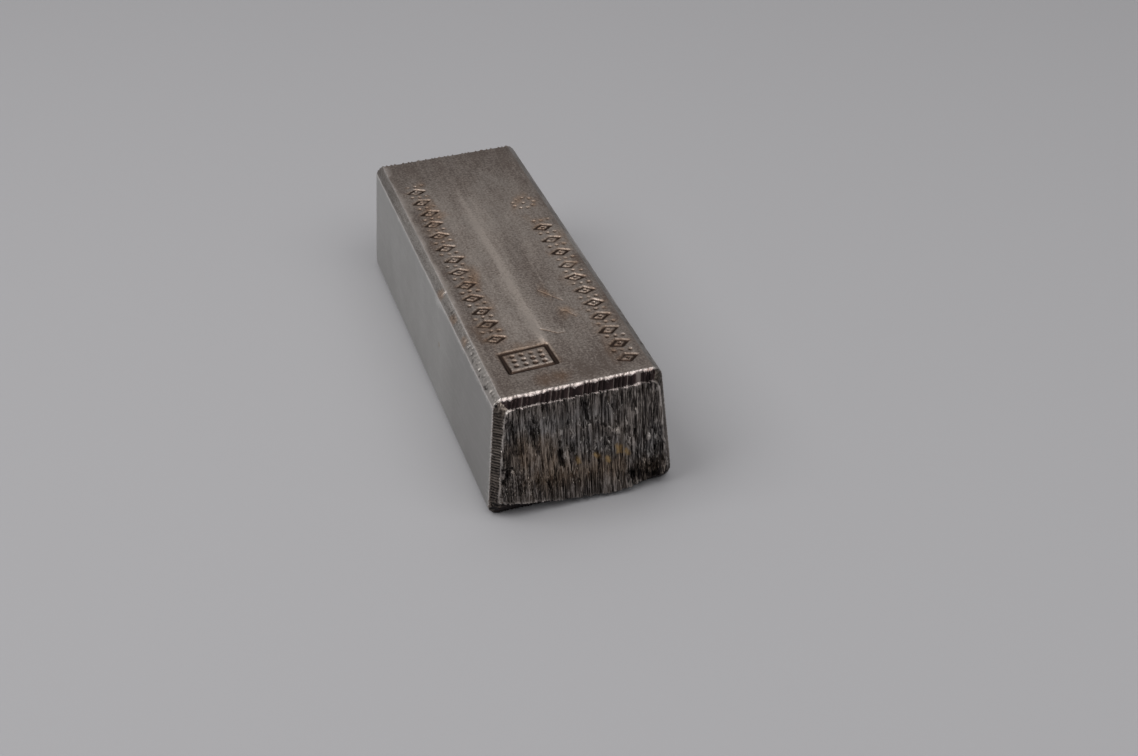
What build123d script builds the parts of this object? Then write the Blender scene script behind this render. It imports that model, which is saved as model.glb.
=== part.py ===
from build123d import *
import math
import os

# A short bar of drawn silver, sawn to length, that lies on its wider face.
# The bar runs along Y, its top faces +Z, and the origin is the middle of its base.
# All sizes are in millimetres.

# Bar section, measured to the sharp corners that the long edges would have.
base_width = 20.3
top_width = 17.7
bar_height = 14.2
top_edge_radius = 0.9
base_edge_radius = 1.1

# Length over the two sawn end faces.
bar_length = 55.4

# Filed bevel round each sawn end: how far it runs along the bar,
# and how far it cuts into the end face from the top, the two sides and the base.
bevel_run = 0.95
bevel_top_drop = 0.95
bevel_side_drop = 0.95
bevel_base_drop = 0.95


def make_section():
    """The trapezoid outline, with its four long edges rounded."""
    half_base = base_width / 2
    half_top = top_width / 2
    corners = [(-half_base, 0), (half_base, 0), (half_top, bar_height), (-half_top, bar_height)]
    outline = make_face(Polyline(*corners, close=True))
    outline = fillet(outline.vertices().group_by(Axis.Y)[0], base_edge_radius)
    return fillet(outline.vertices().group_by(Axis.Y)[-1], top_edge_radius)


def make_flanks():
    """The bar's four long faces, each as a point on it, its outward normal and its bevel's drop."""
    lean = math.atan2((base_width - top_width) / 2, bar_height)
    flanks = [
        (Vector(0, 0, bar_height), Vector(0, 0, 1), bevel_top_drop),
        (Vector(0, 0, 0), Vector(0, 0, -1), bevel_base_drop),
    ]
    for side in (-1, 1):
        foot = Vector(side * base_width / 2, 0, 0)
        outward = Vector(side * math.cos(lean), 0, math.sin(lean))
        flanks.append((foot, outward, bevel_side_drop))
    return flanks


def file_bevel(bar, end, flank):
    """Takes the edge off between one long face and one sawn end, along a flat plane."""
    point, outward, drop = flank
    shoulder = point + end * (bar_length / 2 - bevel_run)
    bevel = Plane(origin=shoulder, z_dir=outward * bevel_run + end * drop)
    return split(bar, bisect_by=bevel, keep=Keep.BOTTOM)


def make_ingot():
    """The one-piece bar, with a bevel filed round both of its sawn ends."""
    bar = extrude(Plane.XZ * make_section(), bar_length / 2, both=True)
    for end in (Vector(0, -1, 0), Vector(0, 1, 0)):
        for flank in make_flanks():
            bar = file_bevel(bar, end, flank)
    return bar


os.makedirs("parts", exist_ok=True)
export_step(make_ingot(), "parts/ingot.step")
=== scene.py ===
import math
import random

import bpy
import numpy as np
from mathutils import Matrix, Vector


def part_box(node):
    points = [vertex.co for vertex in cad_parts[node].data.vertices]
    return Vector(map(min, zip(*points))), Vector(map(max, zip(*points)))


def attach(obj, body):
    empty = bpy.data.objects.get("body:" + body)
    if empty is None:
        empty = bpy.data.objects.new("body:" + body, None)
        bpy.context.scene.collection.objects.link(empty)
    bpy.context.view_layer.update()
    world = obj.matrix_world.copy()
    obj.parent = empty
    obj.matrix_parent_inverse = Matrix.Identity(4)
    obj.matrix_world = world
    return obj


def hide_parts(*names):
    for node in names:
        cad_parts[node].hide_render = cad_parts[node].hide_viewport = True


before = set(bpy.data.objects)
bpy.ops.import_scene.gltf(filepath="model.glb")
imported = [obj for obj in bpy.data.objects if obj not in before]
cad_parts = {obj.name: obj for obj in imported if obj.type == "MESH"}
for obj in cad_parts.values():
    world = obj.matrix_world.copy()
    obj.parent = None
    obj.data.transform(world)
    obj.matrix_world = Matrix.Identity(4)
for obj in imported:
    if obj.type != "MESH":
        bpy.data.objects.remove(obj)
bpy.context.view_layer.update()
mm = 0.001
slack = 0.01  # millimetres within which a point counts as on a plane
print("frame loaded:", ", ".join(sorted(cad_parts)))


# Helpers for modelling by operator

def setMode(mode):
    if bpy.context.object and bpy.context.object.mode != mode:
        bpy.ops.object.mode_set(mode=mode)


def startFresh():
    setMode("OBJECT")
    bpy.ops.object.select_all(action="DESELECT")


def makeActive(piece):
    startFresh()
    piece.select_set(True)
    bpy.context.view_layer.objects.active = piece


def pick(piece, kind, wanted):
    # selects the points, edges or faces for which wanted says yes, and stays in edit mode
    setMode("EDIT")
    bpy.ops.mesh.select_mode(type=kind)
    bpy.ops.mesh.select_all(action="DESELECT")
    setMode("OBJECT")
    mesh = piece.data
    if kind == "VERT":
        for vertex in mesh.vertices:
            vertex.select = wanted(vertex.co)
    elif kind == "EDGE":
        place = [vertex.co for vertex in mesh.vertices]
        for edge in mesh.edges:
            edge.select = wanted(place[edge.vertices[0]], place[edge.vertices[1]])
    else:
        for face in mesh.polygons:
            face.select = wanted(face.center, face.normal)
    setMode("EDIT")


def applyLast(piece):
    makeActive(piece)
    bpy.ops.object.modifier_apply(modifier=piece.modifiers[-1].name)


def pointNumbers(piece, name):
    found = np.empty(len(piece.data.vertices) * 3, np.float32)
    piece.data.vertices.foreach_get(name, found)
    return found.reshape(-1, 3)


# The bar, worked in millimetres and brought to metres at the end

bar = {
    "baseWidth": 20.3,  # both widths are to the sharp corners
    "topWidth": 17.7,
    "topRound": 0.9,
    "topRoundProfile": 0.4,  # under 0.5 is flatter than a true round
    "baseRound": 1.1,
    "baseRoundProfile": 0.5,
    "roundSteps": 6,
    "gridOffset": 4,  # puts the corners of an end's grid in the rounds
    "bevelRun": 1.4,  # along the bar
    "bevelDrop": 0.95,  # down from the top and up from the base
    "bevelSide": 0.8,  # in from the sides
    # stretches of the front face's borders, as from, to and lift
    "lowBorder": ((-10.5, -5, 1.1), (-5, 0, 0.1), (0, 5, -0.45), (5, 10.5, 0.3)),
    "highBorder": ((-10.5, -1, 0.42), (-1, 10.5, 0.3)),
    "highBorderDepth": 0.4,
    "columns": (2, 99),  # cuts across the bar, coarse and then fine
    "layers": (1, 74),  # cuts up its height
    "rows": (3, 99),  # cuts along its length
    "bevelRows": 8,
    "sideColumns": 5,  # more cuts in the narrow columns at the sides of the ends
    "sideColumnWidth": (0.15, 1.2),
    "sideColumnHeight": (3.2, 12.2),
    "triangles": 195000,
    "smoothAngle": 50,
}

low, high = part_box("ingot")
barLength = (high.y - low.y) / mm
barHeight = (high.z - low.z) / mm
endPlane = barLength / 2
shoulder = endPlane - bar["bevelRun"]
sideLean = math.atan2((bar["baseWidth"] - bar["topWidth"]) / 2, barHeight)


def roundReach(radius, insideAngle):
    # how far from the sharp corner a round of this radius starts
    return radius / math.tan(insideAngle / 2)


topReach = roundReach(bar["topRound"], math.pi / 2 + sideLean)
baseReach = roundReach(bar["baseRound"], math.pi / 2 - sideLean)
topFlat = bar["topWidth"] / 2 - topReach  # half the flat of the top
sideTop = bar["topWidth"] / 2 + topReach * math.sin(sideLean)  # where a side meets the top's round
sideTopHeight = barHeight - topReach * math.cos(sideLean)
capScale = 1 - 2 * bar["bevelDrop"] / barHeight  # the sawn face beside the bar's section, in height
capNarrow = 1 - bar["bevelSide"] * 4 / (bar["baseWidth"] + bar["topWidth"])  # and in width


def roundLongEdges(piece):
    pick(piece, "EDGE", lambda a, b: abs(a.y - b.y) > shoulder and a.z > barHeight / 2)
    bpy.ops.mesh.bevel(offset=topReach, segments=bar["roundSteps"],
                       profile=bar["topRoundProfile"], affect="EDGES")
    pick(piece, "EDGE", lambda a, b: abs(a.y - b.y) > shoulder and max(a.z, b.z) < slack)
    bpy.ops.mesh.bevel(offset=baseReach, segments=bar["roundSteps"],
                       profile=bar["baseRoundProfile"], affect="EDGES")


def drawOutEnds(piece):
    # each end is drawn out, drawn in and filled with a grid
    inward = (capNarrow, 1, capScale)
    for way in (-1, 1):
        pick(piece, "FACE", lambda centre, normal: normal.y * way > 0.9)
        bpy.ops.mesh.extrude_region_move(
            TRANSFORM_OT_translate={"value": (0, way * bar["bevelRun"], 0)})
        bpy.ops.transform.resize(value=inward, center_override=(0, 0, barHeight / 2))
        bpy.ops.mesh.delete(type="ONLY_FACE")
        pick(piece, "EDGE", lambda a, b: min(a.y * way, b.y * way) > endPlane - slack)
        bpy.ops.mesh.fill_grid(span=bar["roundSteps"] + 1, offset=bar["gridOffset"])


def liftBorders(piece):
    # the front face has uneven borders at its foot and at its top
    highest = barHeight - bar["bevelDrop"]
    borders = ((bar["lowBorder"], 0, barHeight / 4),
               (bar["highBorder"], highest - bar["highBorderDepth"], highest + slack))
    for stretches, lowest, limit in borders:
        for start, end, lift in stretches:
            pick(piece, "VERT", lambda point: point.y < slack - endPlane and lowest < point.z < limit
                 and start <= point.x < end)
            bpy.ops.transform.translate(value=(0, 0, lift))


def blockOutBar():
    startFresh()
    bpy.ops.mesh.primitive_cube_add(size=1)
    piece = bpy.context.object
    piece.name = "ingot_bar"
    piece.data.name = "ingot_bar"
    setMode("EDIT")
    bpy.ops.mesh.select_all(action="SELECT")
    bpy.ops.transform.translate(value=(0, 0, 0.5))
    size = (bar["baseWidth"], shoulder * 2, barHeight)
    bpy.ops.transform.resize(value=size, center_override=(0, 0, 0))
    pick(piece, "VERT", lambda point: point.z > barHeight / 2)
    taper = bar["topWidth"] / bar["baseWidth"]
    bpy.ops.transform.resize(value=(taper, 1, 1), center_override=(0, 0, 0))
    roundLongEdges(piece)
    drawOutEnds(piece)
    cutLong(piece, 0, bar["columns"][:1])
    liftBorders(piece)
    setMode("EDIT")
    bpy.ops.mesh.select_all(action="SELECT")
    bpy.ops.mesh.normals_make_consistent(inside=False)
    setMode("OBJECT")
    print("bar blocked out:", len(piece.data.polygons), "faces")
    return piece


# Each finish has its own faces, named before the mesh is cut fine

facing = {"end": 0.95, "top": 0.98, "topEdge": 0.1, "upright": 0.3}  # least share of a normal along its axis


def isEnd(centre, normal):
    return abs(normal.y) > facing["end"]


def isBevel(centre, normal):
    return abs(centre.y) > shoulder and not isEnd(centre, normal)


def isUprightBevel(centre, normal):
    return isBevel(centre, normal) and abs(normal.x) > facing["upright"]


def isTop(centre, normal):
    return normal.z > facing["top"] and abs(centre.y) < shoulder


def isTopEdge(centre, normal):
    return facing["topEdge"] < normal.z < facing["top"] and abs(centre.y) < shoulder


finishFaces = {
    "drawn_side": lambda centre, normal: True,
    "tarnished_top": isTop,
    "rubbed_edge": isTopEdge,
    "filed_level": isBevel,
    "filed_upright": isUprightBevel,
    "sawn_end": isEnd,
}


def nameFaces(piece):
    # a later finish takes its faces from those before it
    makeActive(piece)
    for index, (name, wanted) in enumerate(finishFaces.items()):
        piece.data.materials.append(bpy.data.materials.new(name))
        pick(piece, "FACE", wanted)
        piece.active_material_index = index
        bpy.ops.object.material_slot_assign()
    setMode("OBJECT")
    print("faces named:", ", ".join(finishFaces))


# The bake map: four strips along the bar and the two ends beside them, in millimetres of the sheet
sheet = {"width": 77.0, "height": 59.0, "gap": 1.0, "baseShrink": 0.25, "endGrowth": 1.3}


def sheetPlace(point, normal):
    gap = sheet["gap"]
    half = bar["baseWidth"] / 2
    along = point.y + endPlane + gap
    starts = {}
    start = gap
    for name, width in (("left", barHeight), ("top", 2 * half), ("right", barHeight),
                        ("base", 2 * half * sheet["baseShrink"]), ("ends", 0)):
        starts[name] = start
        start += width + gap
    if isEnd(point, normal):
        grow = sheet["endGrowth"]
        lift = gap if point.y < 0 else 2 * gap + 2 * half * grow
        return starts["ends"] + point.z * grow, lift + (point.x + half) * grow
    if abs(normal.x) > abs(normal.z):
        return starts["left" if normal.x < 0 else "right"] + point.z, along
    if normal.z > 0:
        return starts["top"] + point.x + half, along
    return starts["base"] + (point.x + half) * sheet["baseShrink"], along


def layOutSheet(piece):
    mesh = piece.data
    for old in list(mesh.uv_layers):
        mesh.uv_layers.remove(old)
    layer = mesh.uv_layers.new(name="OFBake")
    for face in mesh.polygons:
        for corner in face.loop_indices:
            across, along = sheetPlace(mesh.vertices[mesh.loops[corner].vertex_index].co, face.normal)
            layer.data[corner].uv = (across / sheet["width"], along / sheet["height"])


# Cutting the bar fine enough for its relief

def cutLong(piece, axis, cuts):
    # cuts every edge that runs far along this axis, once for each number of cuts
    for number in cuts:
        pick(piece, "EDGE", lambda a, b: abs(a[axis] - b[axis]) > barHeight / 4)
        bpy.ops.mesh.subdivide(number_cuts=number)


def crossesSideColumn(a, b):
    lowest, highest = bar["sideColumnHeight"]
    narrowest, widest = bar["sideColumnWidth"]
    onEndFace = min(abs(a.y), abs(b.y)) > endPlane - slack
    return onEndFace and lowest < a.z < highest and narrowest < abs(a.x - b.x) < widest


def cutFine(piece):
    makeActive(piece)
    cutLong(piece, 0, bar["columns"][1:])
    cutLong(piece, 2, bar["layers"])
    pick(piece, "EDGE", crossesSideColumn)
    bpy.ops.mesh.subdivide(number_cuts=bar["sideColumns"])
    pick(piece, "EDGE", lambda a, b: bar["bevelRun"] / 2 < abs(a.y - b.y) < bar["bevelRun"] * 2)
    bpy.ops.mesh.subdivide(number_cuts=bar["bevelRows"])
    cutLong(piece, 1, bar["rows"])
    setMode("OBJECT")
    print("bar cut fine:", len(piece.data.polygons), "faces")


def groupPoints(piece):
    # the regions that relief goes into, found by place on the plain bar
    across, along, up = pointNumbers(piece, "co").T
    bevel = abs(along) > shoulder - slack
    face = abs(along) > endPlane - slack
    share = np.clip((abs(along) - shoulder) / bar["bevelRun"], 0, 1)  # how far down the bevel
    highReach = topFlat * (1 - (1 - capNarrow) * share) + slack
    lowReach = sideTop * 0.88  # upright bevels start here below mid height
    upright = (abs(across) > np.where(up > barHeight / 2, highReach, lowReach)) & (up > bar["baseRound"])
    regions = {
        "top": (up > barHeight - slack) & (abs(across) < topFlat + slack),
        "topEdges": (up > sideTopHeight) & (abs(across) > topFlat) & ~bevel,
        "sides": ~bevel & (up < sideTopHeight + slack) & (up > bar["baseRound"]),
        "front": face & (along < 0),
        "back": face & (along > 0),
        "topBevels": bevel & ~upright & (up > barHeight - bar["bevelDrop"] - slack),
        "baseBevels": bevel & ~upright & (up < barHeight / 4) & ~face,
        "uprightBevels": bevel & upright & ~face,
    }
    for name, inside in regions.items():
        piece.vertex_groups.new(name=name).add(np.flatnonzero(inside).tolist(), 1.0, "REPLACE")
    return regions


# Relief tools: a rough texture pushed into a group of points, and strokes cut along lines

def makeTexture(kind, profile=None, **settings):
    # profile bends the texture's own 0 to 1 into another rise
    texture = bpy.data.textures.new("relief_" + kind.lower(), kind)
    for name, value in settings.items():
        setattr(texture, name, value)
    if profile:
        texture.use_color_ramp = True
        stops = texture.color_ramp.elements
        stops.remove(stops[1])
        stops[0].position = profile[0][0]
        stops[0].color = (profile[0][1],) * 3 + (1,)
        for place, level in profile[1:]:
            stops.new(place).color = (level,) * 3 + (1,)
    return texture


def makeBands(shape, profile, noiseSize, turbulence):
    return makeTexture("WOOD", profile, wood_type="BANDNOISE", noise_basis_2=shape,
                       noise_scale=noiseSize, turbulence=turbulence)


def bandSize(pitch):
    return pitch / (0.2 * math.pi)  # a band texture repeats each 0.2 pi


def roughen(piece, group, texture, depth, stretch=(1, 1, 1), shift=(0, 0, 0),
            turn=(0, 0, 0), way="NORMAL", level=0.5):
    # the guide's scale is the size of the pattern in millimetres along each axis
    startFresh()
    bpy.ops.object.empty_add(location=shift, rotation=[math.radians(angle) for angle in turn])
    guide = bpy.context.object
    guide.scale = stretch
    bpy.context.view_layer.update()
    push = piece.modifiers.new("rough", "DISPLACE")
    push.texture = texture
    push.texture_coords = "OBJECT"
    push.texture_coords_object = guide
    push.vertex_group = group
    push.strength = depth
    push.mid_level = level
    push.direction = way
    applyLast(piece)
    bpy.data.objects.remove(guide)


def layLines(strokes):
    # each stroke is a run of points joined by straight edges
    points, edges = [], []
    for stroke in strokes:
        first = len(points)
        points += stroke
        edges += [(first + step, first + step + 1) for step in range(len(stroke) - 1)]
    mesh = bpy.data.meshes.new("strokes")
    mesh.from_pydata(points, edges, [])
    lines = bpy.data.objects.new("strokes", mesh)
    bpy.context.scene.collection.objects.link(lines)
    return lines


def carve(piece, strokes, reach, depth, way="NORMAL", texture=None, stretch=(1, 1, 1), level=0.0):
    # pushes the surface by depth along the strokes, fading out at reach from them
    lines = layLines(strokes)
    nearby = piece.vertex_groups.new(name="nearby")
    place = pointNumbers(piece, "co")
    ends = np.array([point for stroke in strokes for point in stroke])
    inside = ((place > ends.min(0) - reach) & (place < ends.max(0) + reach)).all(1)
    nearby.add(np.flatnonzero(inside).tolist(), 1.0, "REPLACE")
    weigh = piece.modifiers.new("near", "VERTEX_WEIGHT_PROXIMITY")
    weigh.vertex_group = "nearby"
    weigh.target = lines
    weigh.proximity_mode = "GEOMETRY"
    weigh.proximity_geometry = {"EDGE"}
    weigh.min_dist = reach
    weigh.max_dist = 0
    weigh.falloff_type = "SMOOTH"
    applyLast(piece)
    if texture:
        roughen(piece, "nearby", texture, depth, stretch, way=way, level=level)
    else:
        push = piece.modifiers.new("carve", "DISPLACE")
        push.vertex_group = "nearby"
        push.strength = depth
        push.mid_level = 0
        push.direction = way
        applyLast(piece)
    piece.vertex_groups.remove(piece.vertex_groups["nearby"])
    bpy.data.objects.remove(lines)


def wobble(line, step, sway, chance):
    # the same line in short steps, each point a little off
    points = [Vector(point) for point in line]
    result = [points[0]]
    for start, end in zip(points, points[1:]):
        count = max(1, round((end - start).length / step))
        for number in range(1, count + 1):
            off = Vector([chance.uniform(-sway, sway) for axis in range(3)])
            result.append(start.lerp(end, number / count) + off)
    return result


# Painted masks, kept beside the relief for the materials

masks = {}


def paint(name, place, strokes, reach, level=1.0, region=None):
    # adds a soft line of this mask along the strokes, within one region if it is named
    mask = masks.setdefault(name, np.zeros(len(place), np.float32))
    for stroke in strokes:
        points = np.array([tuple(point) for point in stroke], np.float32)
        box = ((place > points.min(0) - reach) & (place < points.max(0) + reach)).all(1)
        if region:
            box &= regions[region]
        index = np.flatnonzero(box)
        near = np.full(len(index), reach, np.float32)
        for start, end in zip(points, points[1:]):
            run = end - start
            share = ((place[index] - start) @ run) / max(float(run @ run), 1e-9)
            foot = start + np.clip(share, 0, 1)[:, None] * run
            near = np.minimum(near, np.linalg.norm(place[index] - foot, axis=1))
        mask[index] = np.maximum(mask[index], np.minimum(level * (1 - near / reach), 1))


# Blank punch marks, struck by hand in two rows along the top

marks = {
    "seed": 11,
    "rows": [{"across": -5.6, "start": -15.8, "end": 20.0}, {"across": 6.2, "start": -23.6, "end": 7.5}],
    "pitch": 1.45,
    "pitchSway": 0.12,
    "sway": 0.15,
    "turn": 0.2,  # at most, in radians
    "lozenge": (1.0, 0.62),  # half its size across and along the bar
    "dotHalf": 0.02,  # half the stroke that makes a dimple
    "dotStep": 0.85,
    "large": {"centre": (-3.4, -20.4), "half": (2.5, 1.75), "dimples": (4, 3), "turn": 0.05},
    "rosette": {"centre": (5.6, 11.2), "radius": 1.25, "dimples": 9},
    "worn": [(0.3, 0.55), (0.6, 1)],  # strokes fade in places
    "lip": {"reach": 0.55, "push": 0.03, "wornSize": 0.8},
    "smallCut": {"reach": 0.32, "push": -0.22, "wornSize": 1.4},
    "largeCut": {"reach": 0.42, "push": -0.3, "wornSize": 2.2},
    "tint": {"reach": 0.9, "level": 0.7},  # warm tarnish round a mark
}


def turnedStroke(points, across, along, turn):
    spin = Matrix.Rotation(turn, 2)
    turned = [spin @ Vector(point) for point in points]
    return [Vector((across + point.x, along + point.y, barHeight)) for point in turned]


def lozengeStroke(across, along, turn, size):
    corners = [(size[0], 0), (0, size[1]), (-size[0], 0), (0, -size[1]), (size[0], 0)]
    return turnedStroke(corners, across, along, turn)


def dotStroke(across, along):
    # a dimple is a very short stroke
    return [Vector((across + side * marks["dotHalf"], along, barHeight)) for side in (-1, 1)]


def boxStrokes(box):
    # an empty box filled with rows of dimples
    (across, along), (halfX, halfY), (columns, rows) = box["centre"], box["half"], box["dimples"]
    corners = [(halfX, halfY), (-halfX, halfY), (-halfX, -halfY), (halfX, -halfY), (halfX, halfY)]
    strokes = [turnedStroke(corners, across, along, box["turn"])]
    for column in range(columns):
        for row in range(rows):
            strokes.append(dotStroke(across + halfX * (2 * (column + 1) / (columns + 1) - 1),
                                     along + halfY * (2 * (row + 1) / (rows + 1) - 1)))
    return strokes


def rowStrokes(row, chance):
    # lozenges with a dimple, and threes of dimples between them
    strokes, along, count = [], row["start"], 0
    sway, turn, pitchSway = marks["sway"], marks["turn"], marks["pitchSway"]
    while along < row["end"]:
        across = row["across"] + chance.uniform(-sway, sway)
        if count % 2 == 0:
            strokes.append(lozengeStroke(across, along, chance.uniform(-turn, turn), marks["lozenge"]))
            strokes.append(dotStroke(across, along))
        else:
            for step in (-marks["dotStep"], 0, marks["dotStep"]):
                strokes.append(dotStroke(across + step, along + chance.uniform(-sway, sway)))
        along += marks["pitch"] + chance.uniform(-pitchSway, pitchSway)
        count += 1
    return strokes


def rosetteStrokes(rosette):
    (across, along), radius, count = rosette["centre"], rosette["radius"], rosette["dimples"]
    strokes = []
    for number in range(count):
        turn = 2 * math.pi * number / count
        strokes.append(dotStroke(across + radius * math.cos(turn), along + radius * math.sin(turn)))
    return strokes + [dotStroke(across, along)]


def punchTop(piece, flat):
    chance = random.Random(marks["seed"])
    small = rosetteStrokes(marks["rosette"])
    for row in marks["rows"]:
        small += rowStrokes(row, chance)
    large = boxStrokes(marks["large"])
    worn = makeTexture("CLOUDS", marks["worn"], noise_scale=1, noise_depth=1)
    for strokes, name in ((small + large, "lip"), (small, "smallCut"), (large, "largeCut")):
        cut = marks[name]
        carve(piece, strokes, cut["reach"], cut["push"], way="Z", texture=worn, stretch=[cut["wornSize"]] * 3)
    paint("warm", flat, small + large, marks["tint"]["reach"], marks["tint"]["level"])
    print("top punched:", len(small) + len(large), "strokes")


# Wear on the top and the long edges, with painted highlight along the arrises, as points across and along,
# and up where a line is off the top

topWear = {
    "seed": 23,
    "bandSway": (2, 0.08),  # step and sway of a line, here and below
    "rubbedAndSheen": [{"line": [(-1.0, -17), (-0.95, 0), (-1.0, 7)], "reach": 0.8, "level": 1.5},
               {"line": [(-1.0, -17), (-0.95, -23)], "reach": 0.8, "level": 1.5, "fadeSteps": 8},
               {"line": [(-1.0, 7), (-1.1, 20)], "reach": 0.8, "level": 1.5, "fadeSteps": 14},
               {"line": [(2.9, -3), (3.0, 2), (3.1, 9)], "reach": 0.8, "level": 0.5},
               {"line": [(0.2, 2), (0.1, 14)], "reach": 0.9, "level": 0.7},
               {"line": [(-3.4, -17), (-3.6, 18)], "reach": 1.4, "level": 0.4}],
    "drawnLine": {"line": [(-1.0, -26), (-1.0, 26)], "reach": 0.5, "depth": 0.012},  # under the first of them
    "dull": [{"line": [(-8, -25.4), (8, -24.6)], "reach": 9, "level": 1.0},
             {"line": [(-8, 27), (8, 27)], "reach": 14, "level": 1.0},
             {"line": [(-6.9, -24), (-7.0, 14)], "reach": 1.0, "level": 0.9},
             {"line": [(-5.4, -17), (-5.6, 22)], "reach": 2.2, "level": 0.4},
             {"line": [(6.4, -24), (6.2, -8)], "reach": 2.2, "level": 0.4},
             {"line": [(7.9, -24), (7.9, -3)], "reach": 1.7, "level": 0.9},
             {"line": [(8.0, 5), (8.0, 26)], "reach": 1.3, "level": 0.7},
             {"line": [(1.9, -22), (1.8, 0), (1.7, 4)], "reach": 2.4, "level": 0.45}],
    "stains": [(-3, -24.8), (-4.2, -24.4), (-1.2, -25), (-4.5, -3.4), (-4.8, -1.8), (-5.4, 13.5), (-5.4, 19),
               (-4.6, 11.2), (5.2, 11.8), (4.4, 10.6), (5.6, -8), (6.2, -10.5), (2.8, -13.6), (2, -9.2),
               (7.4, 2.4), (-3.4, -18.6), (-6.6, 8)],
    "stainRun": (0.3, 0.9),
    "stainReach": 1.8,
    "stainLevel": 0.7,
    "dullEdges": [[(8.7, -27, 13.9), (8.7, -4, 13.9)], [(8.7, 4, 13.9), (8.7, 27, 13.9)],
                  [(-8.7, 18, 13.9), (-8.7, 27, 13.9)]],
    "rubbedEdges": [[(-8.6, -27, 13.9), (-8.6, -17, 13.9)]],
    "edgeReach": 1.4,
    "edgeStains": [(-8.6, -5.3, 13.9), (-8.7, -10.5, 13.8), (-8.6, -15, 13.8)],
    "edgeStainRun": 0.8,
    "edgeStainReach": 0.9,
    # the strength of the painted highlight along the arrises
    "arrisLevels": ((-1, 0.9), (1, 0.4)),  # left and right
    "arrisReach": 0.24,
    "innerArris": {"sway": (0.8, 0.06), "share": 0.8},
    "outerArris": {"sway": (0.8, 0.05), "share": 1.0},
    "scratches": [[(1.4, -8.2), (2.4, -9.8), (3.3, -11)], [(-0.6, -15.6), (0.9, -16.9), (1.6, -17)],
                  [(2.5, -12.8), (3.1, -13.4), (3.7, -14.5)]],
    "scratchSway": (0.5, 0.04),
    "scratchReach": 0.18,
    "scratchDepth": 0.06,
    "scratchTint": 0.25,
    "roughEdges": [{"line": [(-8.6, -26.2, 14.0), (-8.6, -8, 14.0)], "reach": 0.8, "size": 0.3},
                   {"line": [(8.6, -26.2, 14.0), (8.6, -14, 14.0)], "reach": 0.7, "size": 0.35}],
    "roughDepth": 0.24,
    "roughLevel": 0.6,
    "edgePits": {"line": [(-8.7, -18.3, 13.7), (-8.8, -23.6, 13.65)], "count": 16, "sway": 0.2,
                 "length": (0.05, 0.3), "reach": 0.18, "depth": 0.15},
    "nick": {"line": [(-8.95, -5.5), (-8.3, -5.2)], "reach": 0.45, "depth": 0.12, "shine": (0.5, 0.7)},
    "sideSpot": {"line": [(-9.43, -5.6, 7.85), (-9.42, -5.5, 8.0)], "reach": 0.4, "depth": 0.08,
                 "tint": 0.45},
    # depth and size of the slight waves in each region
    "waves": {"sides": (0.05, (4, 9, 4)), "top": (0.05, (7, 16, 7)), "topEdges": (0.06, (1, 1.6, 1))},
}


def onTop(points):
    return [Vector((x, y, barHeight)) for x, y in points]


def paintBand(mask, flat, band, chance):
    line = wobble(onTop(band["line"]), *topWear["bandSway"], chance)
    if "fadeSteps" not in band:
        paint(mask, flat, [line], band["reach"], band["level"], "top")
        return
    steps = band["fadeSteps"]
    for step in range(steps):
        run = [line[0].lerp(line[-1], share / steps) for share in (step, step + 1)]
        paint(mask, flat, [run], band["reach"], band["level"] * (1 - step / steps), "top")


def paintTop(flat, chance):
    wear = topWear
    for mask in ("rubbedAndSheen", "dull"):
        for band in wear[mask]:
            paintBand(mask, flat, band, chance)
    runX, runY = wear["stainRun"]
    stains = [onTop([(x, y), (x + runX, y + runY)]) for x, y in wear["stains"]]
    paint("warm", flat, stains, wear["stainReach"], wear["stainLevel"])
    paint("dull", flat, wear["dullEdges"], wear["edgeReach"], 1.0, "topEdges")
    paint("rubbedAndSheen", flat, wear["rubbedEdges"], wear["edgeReach"], 1.0, "topEdges")
    edgeStains = [[(x, y, z), (x, y + wear["edgeStainRun"], z)] for x, y, z in wear["edgeStains"]]
    paint("warm", flat, edgeStains, wear["edgeStainReach"])
    paint("warm", flat, [wear["sideSpot"]["line"]], wear["sideSpot"]["tint"])
    # painted highlight along the inner and outer arrises, stronger on the left than on the right
    places = (("innerArris", topFlat, barHeight), ("outerArris", sideTop, sideTopHeight))
    for side, level in wear["arrisLevels"]:
        for name, across, up in places:
            arris = [(side * across, -shoulder, up), (side * across, shoulder, up)]
            line = wobble(arris, *wear[name]["sway"], chance)
            paint("highlight", flat, [line], wear["arrisReach"], level * wear[name]["share"])


def pitStrokes(pits, chance):
    start, end = (Vector(point) for point in pits["line"])
    sway = pits["sway"]
    strokes = []
    for number in range(pits["count"]):
        spot = start.lerp(end, chance.random())
        spot = spot + Vector((chance.uniform(-sway, sway), 0, chance.uniform(-sway, sway)))
        strokes.append([spot, spot + Vector((0, chance.uniform(*pits["length"]), 0))])
    return strokes


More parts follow.
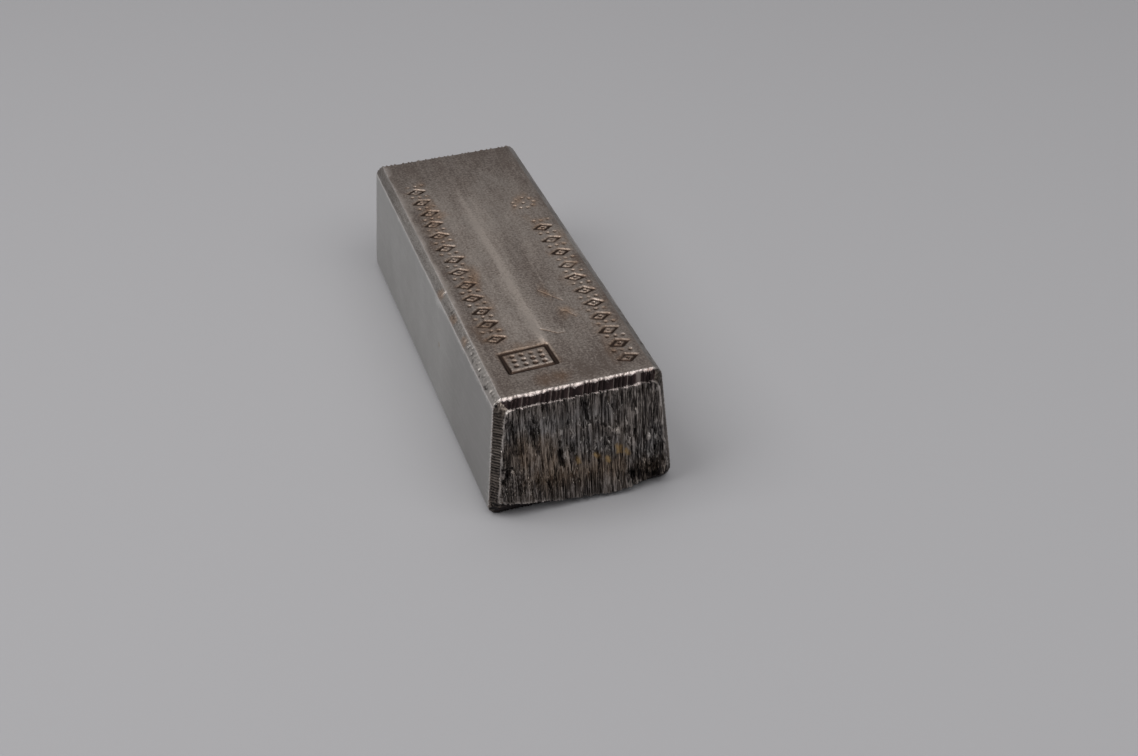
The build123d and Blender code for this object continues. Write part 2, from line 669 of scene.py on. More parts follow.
def wearTop(piece, flat):
    wear = topWear
    chance = random.Random(wear["seed"])
    paintTop(flat, chance)
    spot, drawn, pits, nick = (wear[name] for name in ("sideSpot", "drawnLine", "edgePits", "nick"))
    carve(piece, [spot["line"]], spot["reach"], -spot["depth"])
    carve(piece, [onTop(drawn["line"])], drawn["reach"], -drawn["depth"], way="Z")
    scratches = [wobble(onTop(line), *wear["scratchSway"], chance) for line in wear["scratches"]]
    carve(piece, scratches, wear["scratchReach"], -wear["scratchDepth"], way="Z")
    paint("warm", flat, scratches, wear["scratchTint"], wear["stainLevel"])
    soft = makeTexture("CLOUDS", noise_scale=1, noise_depth=1)
    for rough in wear["roughEdges"]:
        carve(piece, [[Vector(point) for point in rough["line"]]], rough["reach"], wear["roughDepth"],
              texture=soft, stretch=[rough["size"]] * 3, level=wear["roughLevel"])
    carve(piece, pitStrokes(pits, chance), pits["reach"], -pits["depth"])
    carve(piece, [onTop(nick["line"])], nick["reach"], -nick["depth"])
    # a painted highlight along the nick
    paint("highlight", flat, [onTop(nick["line"])], *nick["shine"])
    for group, (depth, size) in wear["waves"].items():
        roughen(piece, group, soft, depth, size)
    print("top worn")


# Torn saw lines on the ends, with painted shade in their cracks and pits and painted highlight on slivers;
# lines are points across and up

tear = {
    "seed": 5,
    "shift": (17.3, 0, 5.1),  # of the patterns at the back, and the other way at the front
    "swell": {"size": (4.0, 30, 6.0), "depth": 0.3},
    "facets": {"pitch": 1.0, "size": (90, 14), "lean": 1.5, "depth": 0.22},
    "lines": {"size": (0.12, 30, 4.4), "lean": -1, "depth": 0.17},
    "lowLines": {"size": (0.1, 30, 3.4), "depth": 0.15, "half": 9.2, "height": 2.5, "reach": 5.5},
    "ridged": [(0.3, 0), (0.55, 0.35), (0.72, 1)],
    # on the front end alone
    "dull": [{"line": [(8.2, 1.5), (8.0, 12.5)], "reach": 4.5, "level": 1.3},
             {"line": [(-8.6, 3.0), (-7.6, 12.8)], "reach": 1.2, "level": 0.5}],
}

# cracks and gouges on the front end, each group with its level of painted shade
crackSway = (0.35, 0.1)
frontCracks = [
    {"reach": 0.2, "depth": 0.22, "creviceShade": 0.9,  # thin cracks
     "lines": [[(-7.5, 12.2), (-7.35, 10.8), (-7.0, 9.4), (-7.05, 8.1)],
               [(0.28, 12.8), (0.45, 11.5), (0.58, 10.3)], [(7.8, 5.5), (7.5, 4.0), (7.3, 2.6)]]},
    {"reach": 0.4, "depth": 0.3, "creviceShade": 1.1,  # a torn corner
     "lines": [[(-8.4, 6.3), (-8.0, 6.25), (-7.5, 6.3)], [(-8.0, 6.1), (-8.2, 5.3), (-8.6, 4.7)]]},
    {"reach": 0.5, "depth": 0.22, "creviceShade": 0.65,  # broad grooves
     "lines": [[(-5.6, 11.6), (-5.2, 9.6), (-4.9, 7.8)], [(0.0, 13.0), (0.2, 11.6), (0.4, 10.2)],
               [(3.4, 12.6), (3.6, 10.8), (3.7, 9.3)], [(-7.3, 10.4), (-7.05, 9.0), (-6.9, 8.0)]]},
    {"reach": 0.5, "depth": 0.3, "creviceShade": 0.9,  # one slot
     "lines": [[(-2.55, 7.3), (-2.15, 5.6)]]},
    {"reach": 1.4, "depth": 0.28, "creviceShade": 0.62,  # the low corner worn away
     "lines": [[(5.2, 2.3), (6.2, 1.9), (7.8, 1.4)]]},
]

# the torn patch on the front end: slivers and pits thrown about in it, lumps and stains by place
patch = {
    "across": (-2.6, 6.0),
    "up": (5.6, 10.6),
    "lean": 0.55,  # at most, from upright
    "bend": 0.1,
    "slivers": {"count": 34, "length": (0.25, 0.8), "reach": 0.2, "height": 0.22, "shine": (0.18, 0.55)},
    "pits": {"count": 12, "length": (0.2, 0.6), "reach": 0.28, "depth": 0.2, "shade": (0.3, 0.75)},
    "lumps": {"spots": [(6.9, 6.7), (6.85, 4.3), (7.8, 4.2), (6.7, 3.7), (8.0, 6.4), (3.55, 8.3)],
              "length": 0.25, "sway": 0.15, "reach": 0.5, "height": 0.35},  # the last one shines
    "ochre": [[(3.5, 6.5), (4.0, 5.7)], [(3.9, 6.4), (3.7, 5.6)], [(1.2, 5.9), (1.6, 5.5)],
              [(2.5, 5.2), (2.7, 4.7)], [(-0.7, 5.9), (-0.5, 5.3)], [(4.5, 5.7), (4.8, 5.1)]],
    "ochreReach": 0.55,
    "warm": [[(-5.0, 4.5), (3.5, 3.8)], [(-6.4, 9.0), (-6.3, 7.0)], [(-3.9, 8.5), (-3.8, 5.0)],
             [(6.6, 2.8), (7.8, 2.6)]],
    "cool": [[(-7.0, 10.8), (2.0, 11.0)], [(-2.2, 8.4), (0.7, 7.9)], [(1.5, 7.2), (3.0, 6.2)],
             [(6.8, 4.8), (8.5, 7.0)]],
    "tint": (3.2, 0.9),  # reach and level
}


def onEnd(points, way):
    return [Vector((x, way * endPlane, z)) for x, z in points]


def tearEnd(piece, group, way):
    # way is -1 at the front and 1 at the back, and a push of that sign goes outward
    shift = [way * offset for offset in tear["shift"]]
    swell, facets, lines, lowLines = (tear[name] for name in ("swell", "facets", "lines", "lowLines"))
    soft = makeTexture("CLOUDS", noise_scale=1, noise_depth=0)
    roughen(piece, group, soft, way * swell["depth"], swell["size"], shift, way="Y")
    saw = makeBands("SAW", None, noiseSize=0.7, turbulence=9)
    facetSize = (bandSize(facets["pitch"]), *facets["size"])
    roughen(piece, group, saw, way * facets["depth"], facetSize, shift, (0, facets["lean"], 0), "Y")
    ridged = makeTexture("CLOUDS", tear["ridged"], noise_scale=1, noise_depth=0)
    roughen(piece, group, ridged, way * lines["depth"], lines["size"], shift, (0, lines["lean"], 0), "Y")
    lowLine = onEnd([(side * lowLines["half"], lowLines["height"]) for side in (-1, 1)], way)
    carve(piece, [lowLine], lowLines["reach"], way * lowLines["depth"], way="Y",
          texture=ridged, stretch=lowLines["size"], level=0.5)


def strayStrokes(kind, chance):
    # short bent strokes somewhere in the torn patch, near upright
    strokes = []
    for number in range(kind["count"]):
        across, up = chance.uniform(*patch["across"]), chance.uniform(*patch["up"])
        length, lean = chance.uniform(*kind["length"]), chance.uniform(-patch["lean"], patch["lean"])
        bend = chance.uniform(-patch["bend"], patch["bend"])
        top = (across + length * math.sin(lean), up + length * math.cos(lean))
        middle = ((across + top[0]) / 2 + bend, (up + top[1]) / 2)
        strokes.append(onEnd([(across, up), middle, top], -1))
    return strokes


def lumpStrokes(kind, chance):
    strokes = []
    for across, up in kind["spots"]:
        top = (across + chance.uniform(-kind["sway"], kind["sway"]), up + kind["length"])
        strokes.append(onEnd([(across, up), top], -1))
    return strokes


def tearEnds(piece, flat):
    chance = random.Random(tear["seed"])
    for group, way in (("front", -1), ("back", 1)):
        tearEnd(piece, group, way)
    for band in tear["dull"]:
        paint("dull", flat, [onEnd(band["line"], -1)], band["reach"], band["level"], "front")
    for group in frontCracks:
        cracks = [wobble(onEnd(line, -1), *crackSway, chance) for line in group["lines"]]
        carve(piece, cracks, group["reach"], group["depth"], way="Y")
        # painted shade along the cracks
        paint("creviceShade", flat, cracks, group["reach"], group["creviceShade"])
    slivers, pits = (strayStrokes(patch[name], chance) for name in ("slivers", "pits"))
    lumps = lumpStrokes(patch["lumps"], chance)
    carve(piece, pits, patch["pits"]["reach"], patch["pits"]["depth"], way="Y")
    carve(piece, lumps, patch["lumps"]["reach"], -patch["lumps"]["height"], way="Y")
    carve(piece, slivers, patch["slivers"]["reach"], -patch["slivers"]["height"], way="Y")
    # painted shade in the pits
    paint("creviceShade", flat, pits, *patch["pits"]["shade"])
    # painted highlight on the slivers and on the last lump
    paint("highlight", flat, slivers + lumps[-1:], *patch["slivers"]["shine"])
    paint("ochre", flat, [onEnd(line, -1) for line in patch["ochre"]], patch["ochreReach"])
    for kind in ("warm", "cool"):
        paint(kind, flat, [onEnd(line, -1) for line in patch[kind]], *patch["tint"], "front")
    print("ends torn")


# Teeth, rims and burrs on the filed bevels, with painted highlight along the rims and burrs

filing = {
    "seed": 31,
    "even": {"profile": [(0, 0), (0.6, 0.2), (1, 1)], "noiseSize": 0.6, "turbulence": 4},
    "uneven": {"profile": [(0, 0), (0.3, 0.25), (0.75, 0.3), (1, 1)], "noiseSize": 0.9, "turbulence": 12},
    # the pitch of the teeth is in their size, and they turn by degrees
    "topBevels": {"teeth": "uneven", "size": (bandSize(0.62), 60, 60), "turn": (0, 0, -26),
                  "depth": 0.19, "level": 0.7},
    "baseBevels": {"teeth": "even", "size": (bandSize(0.35), 60, 60), "turn": (0, 0, 0),
                   "depth": 0.08, "level": 1.0},
    "uprightBevels": {"teeth": "even", "size": (25, 25, bandSize(0.33)), "turn": (-17, 0, 0),
                      "depth": 0.1, "level": 0.7},
    "rimReach": 0.32,
    "rimHeight": {-1: 0.28, 1: 0.06},  # at most, at the front and at the back
    "rimBreaks": 0.4,
    "rimLevel": 0.15,
    "rimSway": (0.5, 0.1),
    "rimShineReach": 0.35,
    # painted highlight along the rim, the bevel sides and the burrs, strong at the front and faint at the
    # back
    "rimShine": {-1: 1.0, 1: 0.25},
    # painted highlight spread onto the top in a soft band behind the front rim
    "rimHighlightSpread": (0.9, 0.7),  # reach and level, here and below
    "sideInset": 0.15,
    "sideFoot": 1.0,
    "sideShineReach": 0.22,
    "sideShine": {-1: 0.9, 1: 0.25},
    "burrCorner": ((0.5, 0.15), (0.75, 0.7)),  # out and down from the end of the face's top
    "burrFoot": (9.15, 1.95),
    "burrLow": [(-2.5, 1.1), (-8.3, 2.05), (-9.15, 2.5)],  # only at the front
    "burrSway": (0.4, 0.12),
    "burrReach": 0.22,
    "burrHeight": 0.1,
    "burrShine": (0.28, 0.75),
    "rightShine": (0.3, 0.9),
    "rightShare": 0.45,  # of the right border, from its top
}


def cutTeeth(piece):
    textures = {name: makeBands("SIN", **filing[name]) for name in ("even", "uneven")}
    for group in ("topBevels", "baseBevels", "uprightBevels"):
        cut = filing[group]
        roughen(piece, group, textures[cut["teeth"]], cut["depth"], cut["size"],
                turn=cut["turn"], level=cut["level"])


def raiseRim(piece, flat, way, bumps, chance):
    # the edge between the top and its bevel, with a painted highlight along it and from there down both sides
    y = way * shoulder
    rim = [(-topFlat, y, barHeight), (topFlat, y, barHeight)]
    carve(piece, [rim], filing["rimReach"], filing["rimHeight"][way],
          texture=bumps, stretch=[filing["rimBreaks"]] * 3, level=filing["rimLevel"])
    shine = wobble(rim, *filing["rimSway"], chance)
    paint("highlight", flat, [shine], filing["rimShineReach"], filing["rimShine"][way])
    if way < 0:
        # a soft lighter band on the top behind the front rim: the spread of its painted highlight
        paint("rubbedAndSheen", flat, [rim], *filing["rimHighlightSpread"])
    foot = bar["baseWidth"] / 2 - filing["sideInset"]
    for side in (-1, 1):
        line = [(side * foot, y, filing["sideFoot"]), (side * sideTop, y, sideTopHeight),
                (side * topFlat, y, barHeight)]
        paint("highlight", flat, [line], filing["sideShineReach"], filing["sideShine"][way])


def burrOutline(way):
    # round an end face from its left over its top to its right
    lifts = [border[2] if way < 0 else 0 for border in bar["highBorder"]]
    leftTop, rightTop = (barHeight - bar["bevelDrop"] + lift for lift in lifts)
    edge = topFlat * capNarrow
    left = [(-edge - out, leftTop - down) for out, down in reversed(filing["burrCorner"])]
    top = [(-edge, leftTop), (-edge / 3, leftTop), (edge / 3, rightTop), (edge, rightTop)]
    right = [(edge + out, rightTop - down) for out, down in filing["burrCorner"]]
    start = filing["burrLow"] if way < 0 else []
    return start + left + top + right + [filing["burrFoot"]]


def raiseBurr(piece, flat, way, chance):
    outline = onEnd(burrOutline(way), way)
    burr = [wobble(outline, *filing["burrSway"], chance)]
    carve(piece, burr, filing["burrReach"], way * filing["burrHeight"], way="Y")
    # painted highlight along the burr, and more on the upper right border, which gets less lamp light
    paint("highlight", flat, burr, *filing["burrShine"])
    start, end = outline[-2:]
    paint("highlight", flat, [[start, start.lerp(end, filing["rightShare"])]], *filing["rightShine"])


def fileBevels(piece, flat):
    chance = random.Random(filing["seed"])
    cutTeeth(piece)
    bumps = makeTexture("CLOUDS", noise_scale=1, noise_depth=1)
    for way in (-1, 1):
        raiseRim(piece, flat, way, bumps, chance)
        raiseBurr(piece, flat, way, chance)
    print("bevels filed")


# Finishing the mesh

def keepMasks(piece, flat, normals):
    # relief is how far each point stands out of the plain bar, in millimetres
    moved = pointNumbers(piece, "co") - flat
    masks["relief"] = (moved * normals).sum(1).astype(np.float32)
    for name, values in masks.items():
        layer = piece.data.attributes.new(name, "FLOAT", "POINT")
        layer.data.foreach_set("value", values)


def thinOut(piece):
    count = sum(len(face.vertices) - 2 for face in piece.data.polygons)
    thin = piece.modifiers.new("thin", "DECIMATE")
    thin.ratio = bar["triangles"] / count
    applyLast(piece)
    print("bar thinned:", count, "to", len(piece.data.polygons), "faces")


def bringToMetres(piece):
    makeActive(piece)
    setMode("EDIT")
    bpy.ops.mesh.select_all(action="SELECT")
    bpy.ops.transform.resize(value=(mm, mm, mm), center_override=(0, 0, 0))
    setMode("OBJECT")
    bpy.ops.object.shade_smooth_by_angle(angle=math.radians(bar["smoothAngle"]))


ingot = blockOutBar()
nameFaces(ingot)
layOutSheet(ingot)
cutFine(ingot)
regions = groupPoints(ingot)
flatPlace = pointNumbers(ingot, "co")
flatNormal = pointNumbers(ingot, "normal")
wearTop(ingot, flatPlace)
punchTop(ingot, flatPlace)
tearEnds(ingot, flatPlace)
fileBevels(ingot, flatPlace)
keepMasks(ingot, flatPlace, flatNormal)
thinOut(ingot)
bringToMetres(ingot)

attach(ingot, "root")
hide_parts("ingot")


# Materials

def addNode(tree, kind, **inputs):
    node = tree.nodes.new(kind)
    for name, value in inputs.items():
        node.inputs[name].default_value = value
    return node


def mathNode(tree, operation, first, second=None):
    node = tree.nodes.new("ShaderNodeMath")
    node.operation = operation
    for socket, value in zip(node.inputs, (first, second)):
        if isinstance(value, (int, float)):
            socket.default_value = value
        elif value is not None:
            tree.links.new(value, socket)
    return node.outputs[0]


def readMask(tree, name):
    node = tree.nodes.new("ShaderNodeAttribute")
    node.attribute_name = name
    return node.outputs["Fac"]


def spread(tree, value, low, high):
    # stretches low to high over 0 to 1
    node = tree.nodes.new("ShaderNodeMapRange")
    for name, given in (("Value", value), ("From Min", low), ("From Max", high)):
        if isinstance(given, (int, float)):
            node.inputs[name].default_value = given
        else:
            tree.links.new(given, node.inputs[name])
    return node.outputs["Result"]


def newGroup(name, inputs, outputs):
    tree = bpy.data.node_groups.new(name, "ShaderNodeTree")
    for direction, sockets in (("INPUT", inputs), ("OUTPUT", outputs)):
        for socketName, kind in sockets:
            tree.interface.new_socket(socketName, in_out=direction, socket_type="NodeSocket" + kind)
    return tree, tree.nodes.new("NodeGroupInput"), tree.nodes.new("NodeGroupOutput")


def makeReliefGroup():
    # reads the bar's own relief and gives a mask of its hollows, for painted shade, and one of its ridges,
    # for painted highlight
    kinds = ("HollowShade", "RidgeHighlight")
    inputs = [(name + part, "Float") for name in kinds for part in (" Start", " Full")]
    tree, given, result = newGroup("relief_masks", inputs, [(name, "Float") for name in kinds])
    relief = readMask(tree, "relief")
    for name in kinds:
        start, full = given.outputs[name + " Start"], given.outputs[name + " Full"]
        tree.links.new(spread(tree, relief, start, full), result.inputs[name])
    return tree


grain = {
    "kinds": {"Speckle": (3, 0.7), "Patch": (4, 0.6), "Streak": (2, 0.6)},  # the noise's detail and roughness
    "range": (0.3, 0.7),  # of the noise that is spread over 0 to 1
    "hairWidth": 0.05,
}


def makeGrainGroup():
    # fine speckle, broad patches and drawn-out streaks, and the film of tarnish that they add up to
    kinds = grain["kinds"]
    inputs = [(name + " Place", "Vector") for name in kinds]
    inputs += [(name + part, "Float") for name in kinds for part in (" Scale", " Weight")]
    inputs.append(("Hair Scale", "Float"))
    outputs = [(name, "Float") for name in ("Film", "Patch", "Speckle", "Streak", "Hair")]
    tree, given, result = newGroup("metal_grain", inputs, outputs)

    # hairs are thin lines where a drawn-out noise crosses its middle
    noise = addNode(tree, "ShaderNodeTexNoise", Detail=1, Roughness=0.5)
    tree.links.new(given.outputs["Streak Place"], noise.inputs["Vector"])
    tree.links.new(given.outputs["Hair Scale"], noise.inputs["Scale"])
    distance = mathNode(tree, "ABSOLUTE", mathNode(tree, "SUBTRACT", noise.outputs["Fac"], 0.5))
    tree.links.new(spread(tree, distance, grain["hairWidth"], 0.0), result.inputs["Hair"])

    film = 0.5
    for name, (detail, rough) in kinds.items():
        noise = addNode(tree, "ShaderNodeTexNoise", Detail=detail, Roughness=rough)
        tree.links.new(given.outputs[name + " Place"], noise.inputs["Vector"])
        tree.links.new(given.outputs[name + " Scale"], noise.inputs["Scale"])
        mask = spread(tree, noise.outputs["Fac"], *grain["range"])
        tree.links.new(mask, result.inputs[name])
        centred = mathNode(tree, "SUBTRACT", mask, 0.5)
        part = mathNode(tree, "MULTIPLY", centred, given.outputs[name + " Weight"])
        film = mathNode(tree, "ADD", part, film)
    tree.links.new(film, result.inputs["Film"])
    return tree


reliefGroup = makeReliefGroup()
grainGroup = makeGrainGroup()

# colours are bare metal, tarnish film, hollows (painted shade, with tarnish), ridges (painted highlight), the
# painted highlight on rims, burrs, arrises and glints, and hairlines with their scale and share
# shifts say how far dull places, and rubbed places with the painted highlight spread behind the front rim,
# move the film
# tints multiply what is under them, and stains cover it; the crevice shade among the stains is painted shade
# in cracks and pits
finishes = {
    "drawn_side": {
        "bare": (0.55, 0.545, 0.52), "film": (0.37, 0.36, 0.345), "hollow": (0.16, 0.14, 0.12),
        "ridge": (0.6, 0.59, 0.57), "highlight": (0.8, 0.78, 0.75), "hair": ((0.6, 0.59, 0.57), 1.5, 0.1),
        "tints": {"warm": (0.85, 0.66, 0.5)}, "stains": {},
        # painted shade: the side darkens towards the front, where it reflects a darker floor
        "frontShade": (-7, -27, 1.05),  # from, to and how much more film, along the bar
        "shifts": (0, 0), "rough": (0.36, 0.46), "bump": 0.1,
        "scales": (4, 0.14, 3), "weights": (0.3, 0.3, 0.15), "patch": (1, 1, 1), "streak": (1, 0.05, 1),
        "hollows": (-0.06, -0.2), "ridges": (0.06, 0.12),
    },
    "tarnished_top": {
        "bare": (0.5, 0.435, 0.385), "film": (0.165, 0.131, 0.112), "hollow": (0.045, 0.03, 0.023),
        "ridge": (0.4, 0.345, 0.305), "highlight": (0.68, 0.61, 0.57), "hair": ((0.5, 0.45, 0.41), 1.6, 0.08),
        "tints": {"warm": (1.05, 0.86, 0.7)}, "stains": {},
        "shifts": (0.4, -0.55), "rough": (0.38, 0.55), "bump": 0.5,
        "scales": (4, 0.4, 3), "weights": (0.85, 0.5, 0.2), "patch": (1, 0.5, 1), "streak": (1, 0.06, 1),
        "hollows": (-0.03, -0.12), "ridges": (0.03, 0.08),
    },
    "rubbed_edge": {
        "bare": (0.54, 0.5, 0.465), "film": (0.25, 0.222, 0.2), "hollow": (0.05, 0.042, 0.036),
        "ridge": (0.56, 0.52, 0.49), "highlight": (0.88, 0.83, 0.79), "hair": ((0.6, 0.56, 0.53), 2.0, 0.2),
        "tints": {"warm": (1.05, 0.88, 0.76)}, "stains": {},
        "shifts": (0.6, -0.5), "rough": (0.3, 0.45), "bump": 0.3,
        "scales": (5, 0.5, 4), "weights": (1.2, 0.6, 0.4), "patch": (1, 0.4, 1), "streak": (1, 0.12, 1),
        "hollows": (-0.03, -0.12), "ridges": (0.03, 0.1),
    },
    "filed_level": {
        "bare": (0.05, 0.034, 0.033), "film": (0.016, 0.0105, 0.0105), "hollow": (0.012, 0.009, 0.009),
        "ridge": (0.115, 0.097, 0.09), "highlight": (0.8, 0.7, 0.66), "hair": ((0.08, 0.068, 0.062), 2.0, 0.2),
        "tints": {}, "stains": {},
        "shifts": (0, 0), "rough": (0.5, 0.65), "bump": 0.4,
        "scales": (6, 0.5, 4), "weights": (0.8, 0.6, 0.3), "patch": (1, 1, 1), "streak": (1, 0.1, 0.1),
        "hollows": (-0.02, -0.13), "ridges": (0.01, 0.06),
    },
    "filed_upright": {
        "bare": (0.15, 0.124, 0.106), "film": (0.018, 0.0145, 0.0127), "hollow": (0.012, 0.01, 0.01),
        "ridge": (0.22, 0.186, 0.16), "highlight": (0.8, 0.74, 0.7), "hair": ((0.3, 0.262, 0.23), 3.0, 0.3),
        "tints": {}, "stains": {},
        "shifts": (0, 0), "rough": (0.4, 0.6), "bump": 0.4,
        "scales": (6, 0.5, 4.6), "weights": (0.5, 0.5, 1.2), "patch": (1, 1, 1), "streak": (0.12, 0.12, 1),
        "hollows": (-0.045, -0.075), "ridges": (-0.02, 0.02),
    },
    "sawn_end": {
        "bare": (0.3, 0.263, 0.24), "film": (0.042, 0.036, 0.034), "hollow": (0.012, 0.01, 0.01),
        "ridge": (0.43, 0.385, 0.35), "highlight": (0.62, 0.57, 0.53), "hair": ((0.56, 0.505, 0.46), 4.2, 0.7),
        "tints": {"warm": (1.08, 0.97, 0.84), "cool": (0.9, 0.95, 1.0)},
        # the crevice shade is painted shade in the cracks and pits
        "stains": {"ochre": (0.44, 0.31, 0.155), "creviceShade": (0.024, 0.02, 0.019)},
        "shifts": (0.65, -0.3), "rough": (0.36, 0.55), "bump": 0.5,
        "scales": (7, 1.0, 6), "weights": (0.8, 0.6, 1.9), "patch": (1, 1, 0.15), "streak": (1, 1, 0.06),
        "hollows": (-0.12, -0.42), "ridges": (0.08, 0.24),
    },
}

bumpReach = 0.03  # millimetres
maskCut = {"tint": 0.5, "stain": 0.6, "highlight": 0.5}  # where a painted mask starts to show
maskRise = 0.6


def placeGrain(tree, place, finish):
    node = tree.nodes.new("ShaderNodeGroup")
    node.node_tree = grainGroup
    stretches = {"Speckle": (1, 1, 1), "Patch": finish["patch"], "Streak": finish["streak"]}
    for kind, size, weight in zip(stretches, finish["scales"], finish["weights"]):
        scale = addNode(tree, "ShaderNodeMapping", Scale=[side / mm for side in stretches[kind]])
        tree.links.new(place, scale.inputs["Vector"])
        tree.links.new(scale.outputs["Vector"], node.inputs[kind + " Place"])
        node.inputs[kind + " Scale"].default_value = size
        node.inputs[kind + " Weight"].default_value = weight
    node.inputs["Hair Scale"].default_value = finish["hair"][1]
    return node.outputs


def placeRelief(tree, finish):
    node = tree.nodes.new("ShaderNodeGroup")
    node.node_tree = reliefGroup
    for name, (start, full) in (("HollowShade", finish["hollows"]), ("RidgeHighlight", finish["ridges"])):
        node.inputs[name + " Start"].default_value = start
        node.inputs[name + " Full"].default_value = full
    return node.outputs


def layOver(tree, under, over, mask, blend="MIX"):
    # sockets of a colour Mix node go by number, because their names repeat
    mix = tree.nodes.new("ShaderNodeMix")
    mix.data_type = "RGBA"
    mix.blend_type = blend
    mix.clamp_factor = True
    tree.links.new(mask, mix.inputs[0])
    if isinstance(under, tuple):
        mix.inputs[6].default_value = (*under, 1)
    else:
        tree.links.new(under, mix.inputs[6])
    mix.inputs[7].default_value = (*over, 1)
    return mix.outputs[2]


def brokenMask(tree, name, cloud, cut):
    # a painted mask, broken up by the grain
    broken = mathNode(tree, "ADD", readMask(tree, name), mathNode(tree, "MULTIPLY", cloud, 0.5))
    return spread(tree, broken, cut, cut + maskRise)


def filmMask(tree, place, grained, finish):
    film = grained["Film"]
    for name, shift in zip(("dull", "rubbedAndSheen"), finish["shifts"]):
        film = mathNode(tree, "ADD", film, mathNode(tree, "MULTIPLY", readMask(tree, name), shift))
    # painted shade: more film towards the front, for a finish that asks for it
    if "frontShade" in finish:
        start, end, more = finish["frontShade"]
        axes = tree.nodes.new("ShaderNodeSeparateXYZ")
        tree.links.new(place, axes.inputs["Vector"])
        along = spread(tree, axes.outputs["Y"], start * mm, end * mm)
        film = mathNode(tree, "ADD", film, mathNode(tree, "MULTIPLY", along, more))
    return film


def metalColour(tree, place, grained, finish):
    relief = placeRelief(tree, finish)
    colour = layOver(tree, finish["bare"], finish["film"], filmMask(tree, place, grained, finish))
    hairColour, _, hairShare = finish["hair"]
    colour = layOver(tree, colour, hairColour, mathNode(tree, "MULTIPLY", grained["Hair"], hairShare))
    # painted highlight on raised relief
    colour = layOver(tree, colour, finish["ridge"], relief["RidgeHighlight"])
    for name, tint in finish["tints"].items():
        cloud = mathNode(tree, "SUBTRACT", 1.0, grained["Patch"]) if name == "cool" else grained["Patch"]
        colour = layOver(tree, colour, tint, brokenMask(tree, name, cloud, maskCut["tint"]), "MULTIPLY")
    # stains, and the painted crevice shade in cracks and pits
    for name, stain in finish["stains"].items():
        cloud = grained["Speckle" if name == "ochre" else "Streak"]
        colour = layOver(tree, colour, stain, brokenMask(tree, name, cloud, maskCut["stain"]))
    # painted shade in the hollows of the relief, with the tarnish in them
    colour = layOver(tree, colour, finish["hollow"], relief["HollowShade"])
    # painted highlight on rims, burrs, arrises and glints, broken up by the speckle
    highlight = brokenMask(tree, "highlight", grained["Speckle"], maskCut["highlight"])
    return layOver(tree, colour, finish["highlight"], highlight)


def finishMetal(name, finish):
    material = bpy.data.materials[name]
    material.use_nodes = True
    tree = material.node_tree
    shader = tree.nodes["Principled BSDF"]
    shader.inputs["Metallic"].default_value = 1.0
    place = tree.nodes.new("ShaderNodeTexCoord").outputs["Object"]
    grained = placeGrain(tree, place, finish)
    tree.links.new(metalColour(tree, place, grained, finish), shader.inputs["Base Color"])

    dull = tree.nodes.new("ShaderNodeMapRange")
    dull.inputs["To Min"].default_value, dull.inputs["To Max"].default_value = finish["rough"]
    tree.links.new(grained["Patch"], dull.inputs["Value"])
    tree.links.new(dull.outputs["Result"], shader.inputs["Roughness"])
    bump = addNode(tree, "ShaderNodeBump", Strength=finish["bump"], Distance=bumpReach * mm)
    tree.links.new(grained["Film"], bump.inputs["Height"])
    tree.links.new(bump.outputs["Normal"], shader.inputs["Normal"])


for finishName, finish in finishes.items():
    finishMetal(finishName, finish)
print("materials made:", ", ".join(finishes))


# Camera, floor and light

view = {
    "lens": 50,
    "sensor": 36,
    "nearest": 5,
    "azimuth": -17.29,
    "elevation": 34.99,
    "roll": -1.55,
    "distance": 181.75,
    "imageSize": (1138, 756),
    "barAt": (-62.0, -68.2),  # pixels from the image's middle to the middle of the bar
}


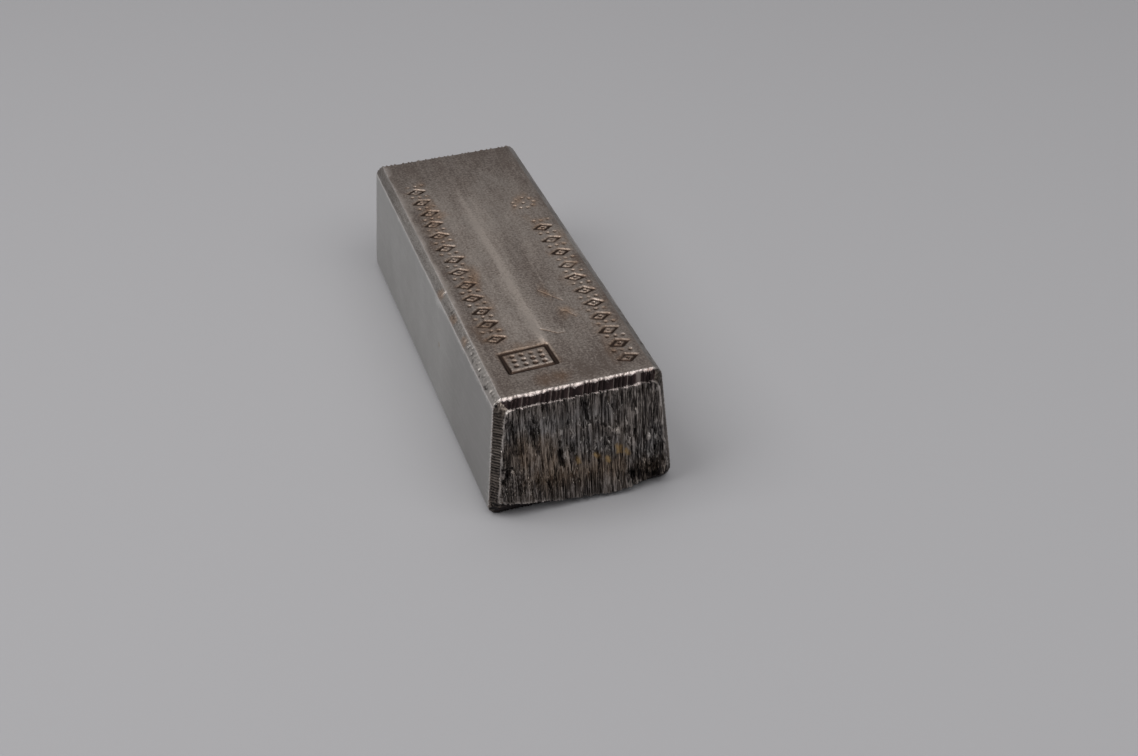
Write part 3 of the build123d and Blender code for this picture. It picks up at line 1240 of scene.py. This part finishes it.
def setCamera():
    azimuth, elevation = math.radians(view["azimuth"]), math.radians(view["elevation"])
    back = Vector((math.sin(azimuth) * math.cos(elevation),
                   -math.cos(azimuth) * math.cos(elevation), math.sin(elevation)))
    right = Vector((0, 0, 1)).cross(back).normalized()
    up = back.cross(right)
    turn = Matrix.Rotation(math.radians(view["roll"]), 3, back)
    right, up = turn @ right, turn @ up
    focus = view["lens"] / view["sensor"] * view["imageSize"][0]
    across, down = (offset / focus * view["distance"] for offset in view["barAt"])
    place = Vector((0, 0, barHeight / 2)) + back * view["distance"] - right * across + up * down
    bpy.ops.object.camera_add(location=place * mm)
    camera = bpy.context.object
    camera.data.lens = view["lens"]
    camera.data.sensor_width = view["sensor"]
    camera.data.clip_start = view["nearest"] * mm
    axes = Matrix((right, up, back)).transposed()
    camera.rotation_euler = axes.to_euler()
    bpy.context.scene.camera = camera


light = {  # sizes and distances here are in metres
    "floorSize": 12,
    "floorColour": (0.385, 0.38, 0.39),
    "floorRoughness": 0.9,
    "floorGloss": 0.2,
    "roomColour": (0.29, 0.29, 0.295),
    "softboxes": [
        {"towards": (-1.0, -0.05, 1.45), "power": 0.98, "size": 0.3},
        {"towards": (0.52, -0.85, 1.35), "power": 0.55, "size": 0.3},
        {"towards": (0.05, 0.1, 1.0), "power": 0.45, "size": 0.45},
    ],
    "boxDistance": 0.45,
}


def layFloor():
    startFresh()
    bpy.ops.mesh.primitive_plane_add(size=light["floorSize"])
    floor = bpy.context.object
    floor.name = "paper_floor"
    paper = bpy.data.materials.new("pale_paper")
    paper.use_nodes = True
    shader = paper.node_tree.nodes["Principled BSDF"]
    shader.inputs["Base Color"].default_value = (*light["floorColour"], 1)
    shader.inputs["Roughness"].default_value = light["floorRoughness"]
    shader.inputs["Specular IOR Level"].default_value = light["floorGloss"]
    floor.data.materials.append(paper)


def setLight():
    for box in light["softboxes"]:
        towards = Vector(box["towards"]).normalized()
        bpy.ops.object.light_add(type="AREA", location=towards * light["boxDistance"])
        softbox = bpy.context.object
        softbox.data.size = box["size"]
        softbox.data.energy = box["power"]
        softbox.rotation_euler = towards.to_track_quat("Z", "Y").to_euler()

    world = bpy.data.worlds.new("soft_room")
    bpy.context.scene.world = world
    world.use_nodes = True
    background = world.node_tree.nodes["Background"]
    background.inputs["Color"].default_value = (*light["roomColour"], 1)
    background.inputs["Strength"].default_value = 1.0


setCamera()
layFloor()
setLight()
bpy.context.scene.view_settings.view_transform = "Standard"
print("camera and light set")
